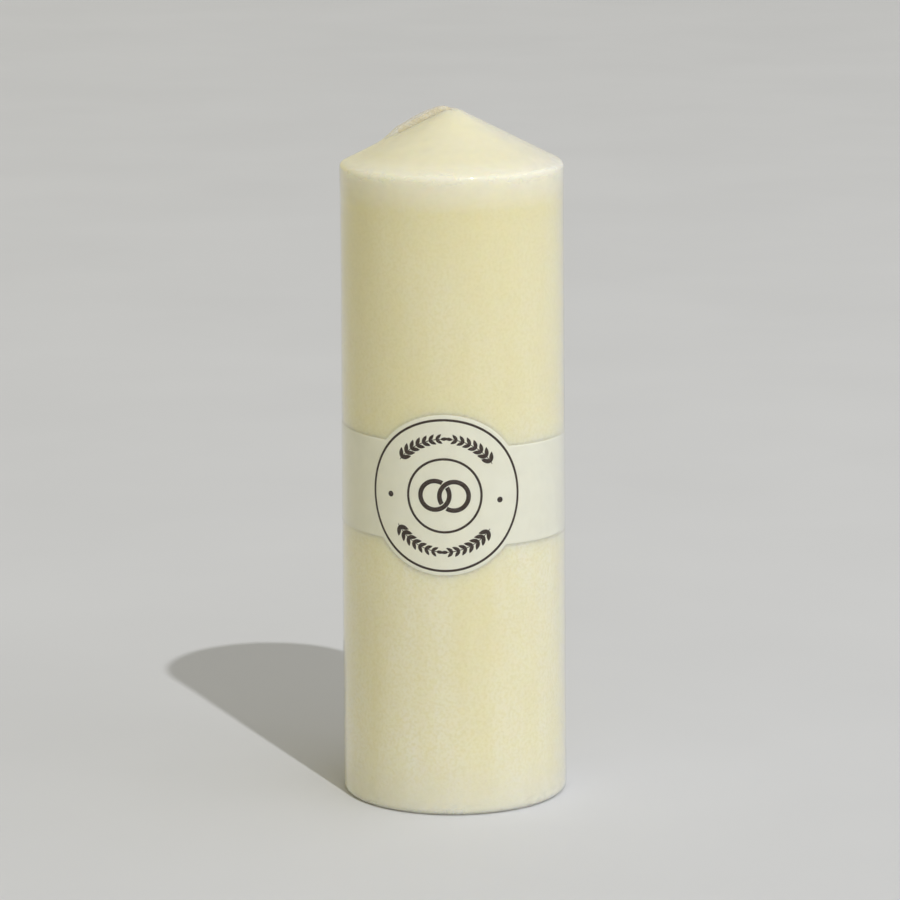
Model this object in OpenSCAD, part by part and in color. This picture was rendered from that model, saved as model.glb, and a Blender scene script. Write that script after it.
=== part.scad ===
// Unity candle in its wrapper: a wax pillar with a cone top, dipped in a harder outer wax,
// a braided wick whose tail is folded down the cone, a paper band label with a round
// front, and a clear shrink film drawn tight over all of it.
// Millimetres, +Z up. The origin is the centre of the underside, and the label faces -Y.

/* [Body] */
// Height over everything, from the table to the top of the film
overall_h = 228.6; // [150:0.1:300]
// Width of the wax across its foot
base_d = 74; // [64:0.5:100]
// Width of the wax across its shoulder, less than the foot by the mould's draft
shoulder_d = 72.4; // [62:0.1:100]
// Radius that rounds the foot's edge
foot_r = 1.6; // [1.4:0.1:4]
// Thickness of the dipped outer wax
skin_t = 1.2; // [0.6:0.1:1.5]

/* [Dome] */
// Slope of the cone top, in degrees from level
dome_slope = 26.6; // [15:0.1:40]
// Radius that rounds the shoulder's edge
shoulder_r = 1.8; // [1.4:0.1:4]
// Radius that blunts the tip of the cone
tip_r = 8; // [6:0.5:12]

/* [Wick] */
// Thickness of the braided wick
wick_d = 2.8; // [2:0.1:3.6]
// Length of the folded tail that lies on the cone, past the tip
tail_l = 14; // [8:1:20]
// Depth that the wick beds into the tip where it folds over
tip_bed = 1.5; // [0.8:0.1:2]
// Depth that the tail beds into the side of the cone
tail_bed = 0.3; // [0.2:0.05:0.6]
// Bend radius of the wick's centre line where it leaves the bore
fold_r = 2; // [1.9:0.1:2.2]
// Swelling of the wick at its knee, where it turns down the cone
knee = 1.06; // [1.05:0.01:1.1]

/* [Wick sustainer] */
// Width of the tinplate disc under the wick
sustainer_d = 19; // [14:0.5:30]
// Thickness of the tinplate
sustainer_t = 0.3; // [0.25:0.05:0.5]
// Length of the neck crimped round the wick
neck_l = 6; // [3:0.5:12]

/* [Label] */
// Height of the label's centre above the table
label_z = 107; // [60:1:140]
// Width of the paper band
band_w = 32.5; // [20:0.5:45]
// Width of the round front of the label, measured flat
disc_d = 53; // [44:0.5:64]
// Tilt of the label as it was put on, in degrees, right side down
label_tilt = 2.5; // [0:0.1:4]
// Thickness of the label paper
paper_t = 0.15; // [0.12:0.01:0.25]
// Length of band that laps over itself at the back
lap_l = 14; // [8:1:24]
// Thickness of the glue in the lap
glue_t = 0.08; // [0.06:0.01:0.15]
// Margin of bare paper left round the glue
glue_margin = 3; // [1.5:0.5:3.5]

/* [Film] */
// Thickness of the shrink film
film_t = 0.15; // [0.12:0.01:0.25]
// Width of the round opening that the shrunk film leaves under the base
eye_d = 44; // [34:1:54]
// Height over which the film ramps out onto the label
ramp_h = 3; // [2:0.5:5]

/* [Fits] */
// Gap between the film and what it covers
film_gap = 0.05; // [0.03:0.01:0.1]
// Gap between the label paper and the wax
paper_gap = 0.05; // [0.03:0.01:0.1]
// Gap between the core and the dipped wax
skin_gap = 0.02; // [0.01:0.01:0.05]
// Gap all round the wick in its bore and in the neck
wick_gap = 0.05; // [0.03:0.01:0.1]
// Gap between the sustainer and the wax round it
sustainer_gap = 0.1; // [0.05:0.01:0.2]

/* [Hidden] */
$fn = 96;

// heights and radii of the wax
base_r = base_d / 2;
wick_r = wick_d / 2;
film_off = film_gap + film_t;
base_z = film_off;
fold_z = overall_h - knee * (wick_r + film_off);
tip_z = fold_z - wick_r + tip_bed;
cone_z = tip_z + tip_r * (1 / cos(dome_slope) - 1);
shoulder_z = cone_z - shoulder_d / 2 * tan(dome_slope);
draft = atan((base_r - shoulder_d / 2) / (shoulder_z - base_z));

// centre of the shoulder's rounding, inside both the side and the cone
shoulder_cr = (base_r + tan(draft) * (base_z - cone_z + shoulder_r / cos(dome_slope))
               - shoulder_r / cos(draft)) / (1 - tan(draft) * tan(dome_slope));
shoulder_cz = cone_z - tan(dome_slope) * shoulder_cr - shoulder_r / cos(dome_slope);

// distance from the axis to the wick's knee
knee_x = (cone_z + (wick_r - tail_bed) / cos(dome_slope) - fold_z) / tan(dome_slope);
core_z = base_z + skin_t + skin_gap;
wick_z = core_z - sustainer_t - sustainer_gap;
neck_r = wick_r + wick_gap + sustainer_t;

// the label's layers, as distances out from the wax
lap_in = paper_gap + paper_t + glue_t + 2 * film_gap;
lap_out = lap_in + paper_t;
disc_r = disc_d / 2;
label_r = side_r(label_z) + paper_gap;
lap_a = lap_l / label_r * 180 / PI;
slit_a = 1;
lap_start = 90 - lap_a / 2;
zone_h = disc_r + 1;
arc_steps = 6;
outline_steps = 72;

// radius of the wax side at height z
function side_r(z) = base_r - tan(draft) * (z - base_z);

// points along an arc about (cr, cz), from angle a to angle b
function arc(cr, cz, r, a, b) =
    [for (i = [0:arc_steps]) let (t = a + (b - a) * i / arc_steps)
        [max(cr + r * cos(t), 0), cz + r * sin(t)]];

// the wax profile grown by o, with the label zone of the side raised to `raise`
function profile(o, raise = 0) = concat(
    [[0, base_z - o]],
    arc(side_r(base_z + foot_r) - foot_r / cos(draft), base_z + foot_r, foot_r + o, -90, draft),
    raise > 0 ? [
        [side_r(label_z - zone_h - ramp_h) + o, label_z - zone_h - ramp_h],
        [side_r(label_z - zone_h) + raise, label_z - zone_h],
        [side_r(label_z + zone_h) + raise, label_z + zone_h],
        [side_r(label_z + zone_h + ramp_h) + o, label_z + zone_h + ramp_h]] : [],
    arc(shoulder_cr, shoulder_cz, shoulder_r + o, draft, 90 - dome_slope),
    arc(0, tip_z - tip_r, tip_r + o, 90 - dome_slope, 90));

module turned(o, raise = 0) {
    rotate_extrude() polygon(profile(o, raise));
}

// a rod of radius r along the wick's path: up the bore, level over the tip, down the cone
module wick_rod(r) {
    translate([0, 0, wick_z]) cylinder(r = r, h = fold_z - fold_r - wick_z);
    translate([-fold_r, 0, fold_z - fold_r]) rotate([90, 0, 0])
        rotate_extrude(angle = 90) translate([fold_r, 0]) circle(r);
    translate([-fold_r, 0, fold_z]) rotate([0, -90, 0]) cylinder(r = r, h = knee_x - fold_r);
    translate([-knee_x, 0, fold_z]) {
        sphere(r * knee);
        rotate([0, -90 - dome_slope, 0]) cylinder(r = r, h = tail_l + r - wick_r);
    }
}

// the hole for the sustainer's disc and neck
module sustainer_pocket() {
    cylinder(r = sustainer_d / 2 + sustainer_gap, h = core_z);
    cylinder(r = neck_r + sustainer_gap, h = wick_z + neck_l + sustainer_gap);
}

module wax_core() {
    color("ivory") difference() {
        turned(-skin_t - skin_gap);
        wick_rod(wick_r + wick_gap);
        sustainer_pocket();
    }
}

module dipped_skin() {
    color("#f3eccb") difference() {
        turned(0);
        turned(-skin_t);
        wick_rod(wick_r + wick_gap);
        sustainer_pocket();
    }
}

module wick() {
    color("#e8d9b0") wick_rod(wick_r);
}

module wick_sustainer() {
    color("silver") difference() {
        union() {
            translate([0, 0, wick_z]) cylinder(r = sustainer_d / 2, h = sustainer_t);
            translate([0, 0, wick_z]) cylinder(r = neck_r, h = neck_l);
        }
        cylinder(r = wick_r + wick_gap, h = wick_z + neck_l + 1);
    }
}

// a layer of sheet on the wax side, from `o` to `o + t` out, between two angles
module layer(o, t, from_a, to_a) {
    low = label_z - zone_h;
    high = label_z + zone_h;
    rotate([0, 0, from_a]) rotate_extrude(angle = to_a - from_a)
        polygon([[side_r(low) + o, low], [side_r(low) + o + t, low],
                 [side_r(high) + o + t, high], [side_r(high) + o, high]]);
}

// the flat label's outline pushed through the candle: the band, and the round front
module label_cutter(height, with_disc = true) {
    reach = base_d;
    translate([0, 0, label_z]) rotate([0, label_tilt, 0]) {
        translate([-reach / 2, -reach / 2, -height / 2] * 1.2) scale(1.2)
            cube([reach, reach, height / 1.2]);
        if (with_disc) rotate([90, 0, 0]) linear_extrude(reach) polygon(
            [for (i = [1:outline_steps]) let (t = 360 * i / outline_steps)
                [label_r * sin(disc_r * cos(t) / label_r * 180 / PI), disc_r * sin(t)]]);
    }
}

module band_label() {
    end_a = lap_start + 360 - slit_a;
    color("#f7f2e0") intersection() {
        union() {
            layer(paper_gap, paper_t, lap_start, end_a);
            layer(paper_gap + paper_t / 2, lap_in - paper_gap, end_a - slit_a, end_a - slit_a / 2);
            layer(lap_in, paper_t, end_a - 2 * slit_a, end_a + slit_a + lap_a);
        }
        label_cutter(band_w);
    }
}

module label_glue() {
    margin_a = glue_margin / label_r * 180 / PI;
    color("#efe9d2") intersection() {
        layer(paper_gap + paper_t + film_gap, glue_t, lap_start + margin_a,
              lap_start + lap_a - margin_a);
        label_cutter(band_w - 2 * glue_margin, with_disc = false);
    }
}

module shrink_film() {
    color("white", 0.25) difference() {
        union() {
            turned(film_off, lap_out + film_off);
            wick_rod(wick_r + film_off);
        }
        turned(film_gap, lap_out + film_gap);
        wick_rod(wick_r + film_gap);
        cylinder(r = eye_d / 2, h = 2 * base_z, center = true);
    }
}

wax_core();
dipped_skin();
wick();
wick_sustainer();
band_label();
label_glue();
shrink_film();
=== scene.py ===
"""Unity candle in its wrapper, finished round the frame of exact parts. Metres."""
import math

import bpy
import numpy as np
from bpy.props import FloatProperty, FloatVectorProperty, IntProperty, PointerProperty
from mathutils import Matrix, Vector


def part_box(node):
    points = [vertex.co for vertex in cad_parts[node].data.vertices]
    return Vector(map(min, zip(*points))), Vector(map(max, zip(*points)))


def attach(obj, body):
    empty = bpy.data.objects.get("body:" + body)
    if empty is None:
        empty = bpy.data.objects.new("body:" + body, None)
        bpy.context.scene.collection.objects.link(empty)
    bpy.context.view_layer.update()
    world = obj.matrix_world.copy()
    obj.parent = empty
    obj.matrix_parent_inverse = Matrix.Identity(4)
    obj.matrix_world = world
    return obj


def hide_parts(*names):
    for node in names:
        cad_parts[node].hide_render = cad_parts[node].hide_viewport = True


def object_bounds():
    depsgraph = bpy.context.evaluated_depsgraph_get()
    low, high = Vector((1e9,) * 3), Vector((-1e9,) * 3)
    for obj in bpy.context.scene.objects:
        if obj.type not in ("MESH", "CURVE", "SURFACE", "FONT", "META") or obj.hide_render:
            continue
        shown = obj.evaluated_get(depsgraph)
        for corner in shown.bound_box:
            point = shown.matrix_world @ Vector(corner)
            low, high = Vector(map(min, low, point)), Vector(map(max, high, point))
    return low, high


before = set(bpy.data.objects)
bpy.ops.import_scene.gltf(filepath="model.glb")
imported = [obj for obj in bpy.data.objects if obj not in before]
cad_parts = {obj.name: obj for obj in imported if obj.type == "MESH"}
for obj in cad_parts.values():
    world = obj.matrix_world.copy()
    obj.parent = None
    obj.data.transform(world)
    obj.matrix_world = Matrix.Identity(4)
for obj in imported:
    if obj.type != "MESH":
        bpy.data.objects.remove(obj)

bl_info = {
    "name": "Unity candle",
    "version": (1, 0, 0),
    "blender": (4, 5, 0),
    "location": "3D View > Sidebar > Unity candle",
    "description": "A film-wrapped pillar candle with a folded wick and a round-fronted band label",
    "category": "Object",
}

MM = 0.001
TURN = 2 * math.pi
CAD_BOX = [list(corner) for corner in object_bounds()]


# ---------------------------------------------------------------- sizes from the frame

def node_points(node):
    """Every corner of a CAD node's mesh, as rows of x, y, z."""
    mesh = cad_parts[node].data
    flat = np.empty(len(mesh.vertices) * 3)
    mesh.vertices.foreach_get("co", flat)
    return flat.reshape(-1, 3)


def outer_outline(node):
    """Heights and radii up the outside of a turned node: of the widest point at each height,
    the ones that the convex outline runs through."""
    points = node_points(node)
    height = np.round(points[:, 2], 6)
    radius = np.hypot(points[:, 0], points[:, 1])
    outline = []
    for level in np.unique(height):
        here = (level, radius[height == level].max())
        while len(outline) > 1:
            (z0, r0), (z1, r1) = outline[-2:]
            if (r1 - r0) * (here[0] - z0) > (here[1] - r0) * (z1 - z0):
                break
            outline.pop()
        outline.append(here)
    return np.array(outline).T


SIDE_Z, SIDE_R = outer_outline("dipped_skin")


def side_radius(height):
    """Radius of the wax at a height."""
    return np.interp(height, SIDE_Z, SIDE_R)


# ---------------------------------------------------------------- surfaces

def smooth(x):
    """Rises from 0 to 1 as x does, level at both ends: 3 x squared less 2 x cubed."""
    x = np.clip(x, 0, 1)
    return x * x * (3 - 2 * x)


def ripples(theta, height, seed, count, waves_round, waves_up):
    """A soft random relief between about -1 and 1: the mean of `count` cosine waves, each with a
    whole number of waves round the candle, up to waves_round, and up to waves_up a metre upwards."""
    rng = np.random.default_rng(seed)
    total = np.zeros(np.broadcast(theta, height).shape)
    for _ in range(count):
        around = rng.integers(1, waves_round + 1)
        upward = rng.uniform(-waves_up, waves_up) * TURN
        total += np.cos(around * theta + upward * height + rng.uniform(0, TURN))
    return total / math.sqrt(count)


def grid_quads(rows, cols, start=0, close_rows=False, close_cols=False):
    """Corner numbers of the quads of a grid whose points are numbered row by row."""
    i = np.arange(rows if close_rows else rows - 1)
    j = np.arange(cols if close_cols else cols - 1)
    i, j = np.meshgrid(i, j, indexing="ij")
    up, along = (i + 1) % rows, (j + 1) % cols
    quads = np.stack([i * cols + j, i * cols + along, up * cols + along, up * cols + j], -1)
    return quads.reshape(-1, 4) + start


def put_mesh(name, points, quads, tris=None):
    """A smooth-shaded object from arrays of points, quads and triangles."""
    tris = np.zeros((0, 3), int) if tris is None else tris
    mesh = bpy.data.meshes.new(name)
    mesh.vertices.add(len(points))
    mesh.vertices.foreach_set("co", np.asarray(points, float).ravel())
    corners = np.concatenate([quads.ravel(), tris.ravel()])
    sizes = np.concatenate([np.full(len(quads), 4), np.full(len(tris), 3)])
    mesh.loops.add(len(corners))
    mesh.loops.foreach_set("vertex_index", corners)
    mesh.polygons.add(len(sizes))
    mesh.polygons.foreach_set("loop_start", np.concatenate([[0], np.cumsum(sizes)[:-1]]))
    mesh.polygons.foreach_set("use_smooth", np.ones(len(sizes), bool))
    mesh.update(calc_edges=True)
    mesh.validate()
    piece = bpy.data.objects.new(name, mesh)
    bpy.context.collection.objects.link(piece)
    return piece


def turned_points(theta, radius, height):
    """Points at angles theta, counted from the front (-Y) towards +X."""
    return np.stack(np.broadcast_arrays(radius * np.sin(theta), -radius * np.cos(theta), height), -1)


def along(path, *stretches):
    """Radius, height and outward normal along a path of (radius, height) points. Each stretch is
    (from, to, steps), lengths along the path, and its last point starts the next stretch."""
    step = np.hypot(*np.diff(path, axis=0).T)
    length = np.concatenate([[0], np.cumsum(step)])
    at = np.concatenate([np.linspace(a, b, n, endpoint=False) for a, b, n in stretches]
                        + [[stretches[-1][1]]])
    r, z = (np.interp(at, length, path[:, k]) for k in (0, 1))
    fine = 0.05 * MM
    dr, dz = (np.interp(at + fine, length, path[:, k]) - np.interp(at - fine, length, path[:, k])
              for k in (0, 1))
    size = np.hypot(dr, dz)
    return r, z, dz / size, -dr / size


def finish_piece(piece, slot, material, *nodes):
    """Gives a finished piece its material, hangs it on the root body and hides the CAD nodes that it
    replaces.
    """
    piece.data.materials.clear()
    piece.data.materials.append(material)
    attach(piece, "root")
    if nodes:
        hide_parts(*nodes)
    return piece


# ---------------------------------------------------------------- materials

class Shader:
    """A material's node tree, built by name."""

    def __init__(self, name):
        self.material = bpy.data.materials.new(name)
        self.material.use_nodes = True
        self.nodes = self.material.node_tree.nodes
        self.links = self.material.node_tree.links
        self.nodes.clear()
        self.output = self.nodes.new("ShaderNodeOutputMaterial")

    def node(self, kind, settings=None, **inputs):
        """A node of a kind. An input's name has _ for a space; a linked value is a socket."""
        node = self.nodes.new("ShaderNode" + kind)
        for key, value in (settings or {}).items():
            setattr(node, key, value)
        for key, value in inputs.items():
            self.fill(node.inputs[key.replace("_", " ")], value)
        return node

    def fill(self, socket, value):
        """Links a socket to another, or sets its constant."""
        if isinstance(value, bpy.types.NodeSocket):
            self.links.new(value, socket)
        else:
            socket.default_value = value

    def noise(self, scale, stretch=(1, 1, 1), detail=3.0, roughness=0.55):
        """Noise of `scale` lumps a metre on Object coordinates, stretched along each axis."""
        place = self.node("TexCoord").outputs["Object"]
        mapped = self.node("Mapping", Vector=place, Scale=[scale / s for s in stretch])
        return self.node("TexNoise", Vector=mapped.outputs[0], Scale=1.0, Detail=detail,
                         Roughness=roughness).outputs[0]

    def height(self):
        """Height over the table, in metres."""
        place = self.node("TexCoord").outputs["Object"]
        return self.node("SeparateXYZ", Vector=place).outputs["Z"]

    def maths(self, kind, a, b):
        """a and b through one step of arithmetic."""
        node = self.node("Math", {"operation": kind})
        self.fill(node.inputs[0], a)
        self.fill(node.inputs[1], b)
        return node.outputs[0]

    def between(self, value, low, high, start=0.0, end=1.0):
        """Maps value from low..high to start..end, held at both ends."""
        node = self.node("MapRange", Value=value)
        for key, number in zip(("From Min", "From Max", "To Min", "To Max"),
                               (low, high, start, end)):
            node.inputs[key].default_value = number
        return node.outputs[0]

    def mix(self, factor, a, b, blend="MIX"):
        """a and b blended by a factor."""
        node = self.node("Mix", {"data_type": "RGBA", "blend_type": blend})
        self.fill(node.inputs[0], factor)
        self.fill(node.inputs[6], a)
        self.fill(node.inputs[7], b)
        return node.outputs[2]

    def mix_shaders(self, factor, first, second):
        """Two shaders blended by a factor."""
        node = self.node("MixShader")
        self.fill(node.inputs[0], factor)
        self.fill(node.inputs[1], first.outputs[0])
        self.fill(node.inputs[2], second.outputs[0])
        return node

    def bump(self, height, distance, strength=1.0, normal=None):
        """The normal of a relief that is `distance` high where height is 1."""
        node = self.node("Bump", Height=height, Distance=distance, Strength=strength)
        if normal is not None:
            self.fill(node.inputs["Normal"], normal)
        return node.outputs[0]

    def principled(self, **inputs):
        """The finished material, all of it one Principled surface."""
        shader = self.node("BsdfPrincipled", **inputs)
        self.links.new(shader.outputs[0], self.output.inputs[0])
        return self.material


def colour(rgb, factor=1.0):
    """Red, green and blue times a factor, with a full alpha."""
    return [c * factor for c in rgb] + [1.0]


def dipped_wax(wax):
    """Ivory wax: see-through a few millimetres deep, with cloudy patches and upright streaks, and painted
    light and shade: darker towards the top and along the foot, with a painted glow under the shoulder.
    """
    s = Shader("dipped_wax")
    cloud = s.between(s.noise(34, (1, 1, 2.2)), 0.35, 0.65)
    streak = s.between(s.noise(150, (1, 1, 14), 4.0), 0.42, 0.66)
    fleck = s.between(s.noise(1000, detail=1.0), 0.42, 0.66)
    deep, pale = colour(wax.deep_colour), colour(wax.colour)
    # painted shade: more of the deep colour towards the top, so the wax is painted darker and yellower at
    # the top and paler at the foot
    tone = s.mix(s.between(s.height(), 0, 0.21, 0.0, wax.painted_shade_rise), pale, deep)
    tone = s.mix(s.between(cloud, 0, 1, 0.0, 0.45), tone, deep)
    tone = s.mix(s.between(streak, 0, 1, 0.0, 0.28), tone, deep)
    tone = s.mix(s.between(fleck, 0, 1, 0.0, 0.42), tone, colour(wax.deep_colour, 0.94))
    # painted light and shade: a paler glow is painted under the shoulder for light from the cone that comes
    # out again there, and the foot is painted greyer because little light reaches it
    painted_glow = s.maths("MINIMUM", s.between(s.height(), wax.painted_glow_from, wax.painted_glow_from + 11 * MM, 0.0, 0.6),
                   s.between(s.height(), wax.painted_glow_from + 12 * MM, wax.painted_glow_from + 16 * MM, 0.6, 0.18))
    tone = s.mix(painted_glow, tone, colour(wax.painted_glow_colour))
    # painted shade: the wax is painted greyer along the foot, where less light reaches
    tone = s.mix(s.between(s.height(), 0, 22 * MM, 0.65, 0.0), tone, colour(wax.painted_foot_shade))
    grain = s.bump(s.noise(620, detail=4.0), 0.04 * MM, 0.5)
    swell = s.bump(s.noise(60, (1, 1, 3), 2.0), 0.3 * MM, 0.35, grain)
    return s.principled(
        Base_Color=tone, Roughness=s.between(cloud, 0, 1, 0.56, 0.66), IOR=1.44,
        Specular_IOR_Level=0.75, Subsurface_Weight=1.0, Subsurface_Radius=wax.see_through_tint,
        Subsurface_Scale=wax.see_through, Normal=swell)


def core_wax(wax):
    """The pressed core: chalkier than the dipped wax and grainy."""
    s = Shader("core_wax")
    grain = s.between(s.noise(700, detail=2.0), 0.35, 0.7)
    tone = s.mix(s.between(grain, 0, 1, 0.0, 0.5), colour(wax.colour), colour(wax.deep_colour))
    return s.principled(
        Base_Color=tone, Roughness=0.6, Subsurface_Weight=0.5,
        Subsurface_Radius=wax.see_through_tint, Subsurface_Scale=0.5 * wax.see_through,
        Normal=s.bump(grain, 0.1 * MM, 0.6))


def waxed_cotton(wick):
    """Cotton yarn soaked with wax: fine fibres along the yarn, golden where the wax is thick."""
    s = Shader("waxed_cotton")
    fibre = s.between(s.noise(3800, (1, 1, 1), 3.0), 0.35, 0.7)
    soak = s.between(s.noise(420, detail=2.0), 0.4, 0.62)
    tone = s.mix(soak, colour(wick.colour), colour(wick.soaked_colour))
    tone = s.mix(s.between(fibre, 0, 1, 0.0, 0.35), tone, colour(wick.soaked_colour, 0.7))
    return s.principled(
        Base_Color=tone, Roughness=0.55, Subsurface_Weight=0.35,
        Subsurface_Radius=(1.0, 0.7, 0.4), Subsurface_Scale=1.2 * MM, Sheen_Weight=0.15,
        Normal=s.bump(fibre, 0.06 * MM, 0.8))


def label_paper(label):
    """Uncoated ivory paper: faint fibre clouds and a fine tooth."""
    s = Shader("label_paper")
    cloud = s.between(s.noise(240, detail=4.0), 0.38, 0.64)
    tooth = s.noise(3200, detail=3.0)
    tone = s.mix(s.between(cloud, 0, 1, 0.0, 1.0), colour(label.paper_colour),
                 colour(label.paper_colour, 0.965))
    return s.principled(
        Base_Color=tone, Roughness=0.7, Subsurface_Weight=0.25,
        Subsurface_Radius=(1.0, 0.85, 0.6), Subsurface_Scale=0.4 * MM,
        Normal=s.bump(tooth, 0.02 * MM, 0.5))


def label_ink(label):
    """Black offset ink, slightly uneven where the paper's tooth shows through."""
    s = Shader("label_ink")
    wear = s.between(s.noise(1500, detail=3.0), 0.45, 0.75)
    tone = s.mix(s.between(wear, 0, 1, 0.0, 0.35), colour(label.ink_colour),
                 colour(label.ink_colour, 1.6))
    return s.principled(Base_Color=tone, Roughness=0.5, Specular_IOR_Level=0.2,
                        Normal=s.bump(wear, 0.008 * MM, 0.4))


def dried_glue(label):
    """Dried label glue: glossy, cloudy and a little yellow."""
    s = Shader("dried_glue")
    cloud = s.between(s.noise(500, detail=2.0), 0.35, 0.65)
    tone = s.mix(cloud, colour(label.paper_colour, 0.9), colour((0.86, 0.80, 0.62)))
    return s.principled(Base_Color=tone, Roughness=0.25, Normal=s.bump(cloud, 0.05 * MM, 0.5))


def tinplate(sustainer):
    """Pressed tinplate: dull, with rolling marks across the sheet and small dull spots."""
    s = Shader("tinplate")
    rolled = s.between(s.noise(2600, (24, 1, 1), 3.0), 0.3, 0.7)
    spots = s.between(s.noise(520, detail=3.0), 0.55, 0.75)
    tone = s.mix(s.between(spots, 0, 1, 0.0, 0.35), colour(sustainer.colour),
                 colour(sustainer.colour, 0.55))
    return s.principled(
        Base_Color=tone, Metallic=1.0, Roughness=s.between(rolled, 0, 1, 0.28, 0.46),
        Normal=s.bump(rolled, 0.01 * MM, 0.5))


def clear_film(film):
    """Clear film: what lies behind it, under a trace of white haze that thickens towards the
    edges and wherever the film stands loose, and a gloss. The gloss's share is its straight-on
    share plus the rest times the fifth power of how far the surface is turned away, and it is
    the same for both faces of the sheet."""
    s = Shader("clear_film")
    crinkle = s.bump(s.noise(190, (1, 1, 2.5), 3.0), 0.12 * MM, film.crinkle)
    scuff = s.between(s.noise(900, (1, 1, 6), 4.0), 0.4, 0.75)
    gloss = s.node("BsdfGlossy", Color=(1, 1, 1, 1), Normal=crinkle,
                   Roughness=s.between(scuff, 0, 1, film.roughness, 2.2 * film.roughness))
    thrown_back = s.node("BsdfDiffuse", Color=colour(film.haze_colour))
    let_through = s.node("BsdfTranslucent", Color=colour(film.haze_colour))
    haze = s.mix_shaders(0.35, thrown_back, let_through)
    clear = s.node("BsdfTransparent", Color=(1, 1, 1, 1))
    turned = s.node("LayerWeight", Blend=0.5).outputs["Facing"]
    straight_on = ((film.ior - 1) / (film.ior + 1)) ** 2
    mirror = s.between(s.maths("POWER", turned, 5.0), 0, 1, straight_on, 1)
    # "loose" is the sheet's own record of how far it stands off what lies under it
    patchy = s.between(s.noise(130, (1, 1, 1), 3.0), 0.38, 0.66, 0.88, 1.1)
    stored = s.node("Attribute", {"attribute_name": "loose"}).outputs["Fac"]
    loose = s.maths("MULTIPLY", stored, patchy)
    crease = s.maths("MULTIPLY", s.between(s.noise(95, (1, 1, 0.5), 4.0), 0.54, 0.68),
                     s.between(s.height(), 2.0 * MM, 5.0 * MM, film.crease_haze, 0.0))
    edge = s.between(s.maths("POWER", turned, 3.0), 0, 1, film.haze, film.haze + film.edge_haze)
    veil = s.maths("ADD", s.maths("ADD", edge, crease), s.maths("MULTIPLY", loose, film.loose_haze))
    seen = s.mix_shaders(veil, clear, haze)
    s.links.new(s.mix_shaders(mirror, seen, gloss).outputs[0], s.output.inputs[0])
    return s.material


def pale_floor(stage):
    """Plain matt floor with faint broad clouds."""
    s = Shader("pale_floor")
    cloud = s.between(s.noise(6, detail=3.0), 0.35, 0.65)
    tone = s.mix(cloud, colour(stage.floor_colour), colour(stage.floor_colour, 0.97))
    return s.principled(Base_Color=tone, Roughness=0.6, Specular_IOR_Level=0.3)


# ---------------------------------------------------------------- sizes and colours

class WaxSizes(bpy.types.PropertyGroup):
    """Colours and relief of the wax"""
    colour: FloatVectorProperty(
        name="Wax colour", description="Ivory of the dipped wax", subtype="COLOR",
        size=3, default=(0.86, 0.845, 0.725), min=0, max=1)
    deep_colour: FloatVectorProperty(
        name="Deep colour", description="Yellower ivory of its patches and streaks", subtype="COLOR",
        size=3, default=(0.78, 0.725, 0.41), min=0, max=1)
    # painted glow: paler colour painted into the wax under the shoulder, for light that comes through from
    # the cone
    painted_glow_colour: FloatVectorProperty(
        name="Glow colour", description="Paler ivory of the lit-through wax at the shoulder",
        subtype="COLOR", size=3, default=(0.94, 0.925, 0.80), min=0, max=1)
    # painted shade: greyer colour painted along the foot, where less light reaches
    painted_foot_shade: FloatVectorProperty(
        name="Foot colour", description="Greyer ivory along the foot, which less light reaches",
        subtype="COLOR", size=3, default=(0.74, 0.72, 0.57), min=0, max=1)
    # where the painted glow under the shoulder begins
    painted_glow_from: FloatProperty(
        name="Glow from", description="Height from which the wax grows paler towards the shoulder",
        default=198 * MM, min=0, unit="LENGTH")
    see_through: FloatProperty(
        name="See-through depth", description="How far light spreads inside the wax",
        default=7 * MM, min=0, unit="LENGTH")
    see_through_tint: FloatVectorProperty(
        name="See-through tint", description="How far red, green and blue light spread",
        size=3, default=(1.0, 0.85, 0.50), min=0, max=1)
    relief: FloatProperty(
        name="Relief", description="Depth of the soft unevenness that dipping leaves",
        default=0.10 * MM, min=0, unit="LENGTH")
    mound: FloatProperty(
        name="Mound", description="How far the wax has crept up the wick at the tip",
        default=0.5 * MM, min=0, unit="LENGTH")
    # painted shade: how much darker and yellower the top is painted than the foot
    painted_shade_rise: FloatProperty(
        name="Deeper upwards", description="How much more of the deep colour the top has than the foot",
        default=0.66, min=0, max=1)


class WickSizes(bpy.types.PropertyGroup):
    """The braid and its colours"""
    strands: IntProperty(
        name="Strands", description="Strands of the round braid, half of them wound each way",
        default=8, min=4, max=16)
    pitch: FloatProperty(
        name="Pitch", description="Length of wick in which a strand goes once round",
        default=7 * MM, min=2 * MM, unit="LENGTH")
    colour: FloatVectorProperty(
        name="Cotton colour", description="Cotton primed with wax", subtype="COLOR",
        size=3, default=(0.88, 0.80, 0.60), min=0, max=1)
    soaked_colour: FloatVectorProperty(
        name="Soaked colour", description="Cotton where the wax is thick", subtype="COLOR",
        size=3, default=(0.82, 0.66, 0.36), min=0, max=1)


class SustainerSizes(bpy.types.PropertyGroup):
    """The tinplate disc"""
    bead: FloatProperty(
        name="Bead", description="Height of the ring pressed into the disc",
        default=0.25 * MM, min=0, unit="LENGTH")
    colour: FloatVectorProperty(
        name="Tinplate colour", description="Dull tinplate", subtype="COLOR",
        size=3, default=(0.62, 0.61, 0.58), min=0, max=1)


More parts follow.
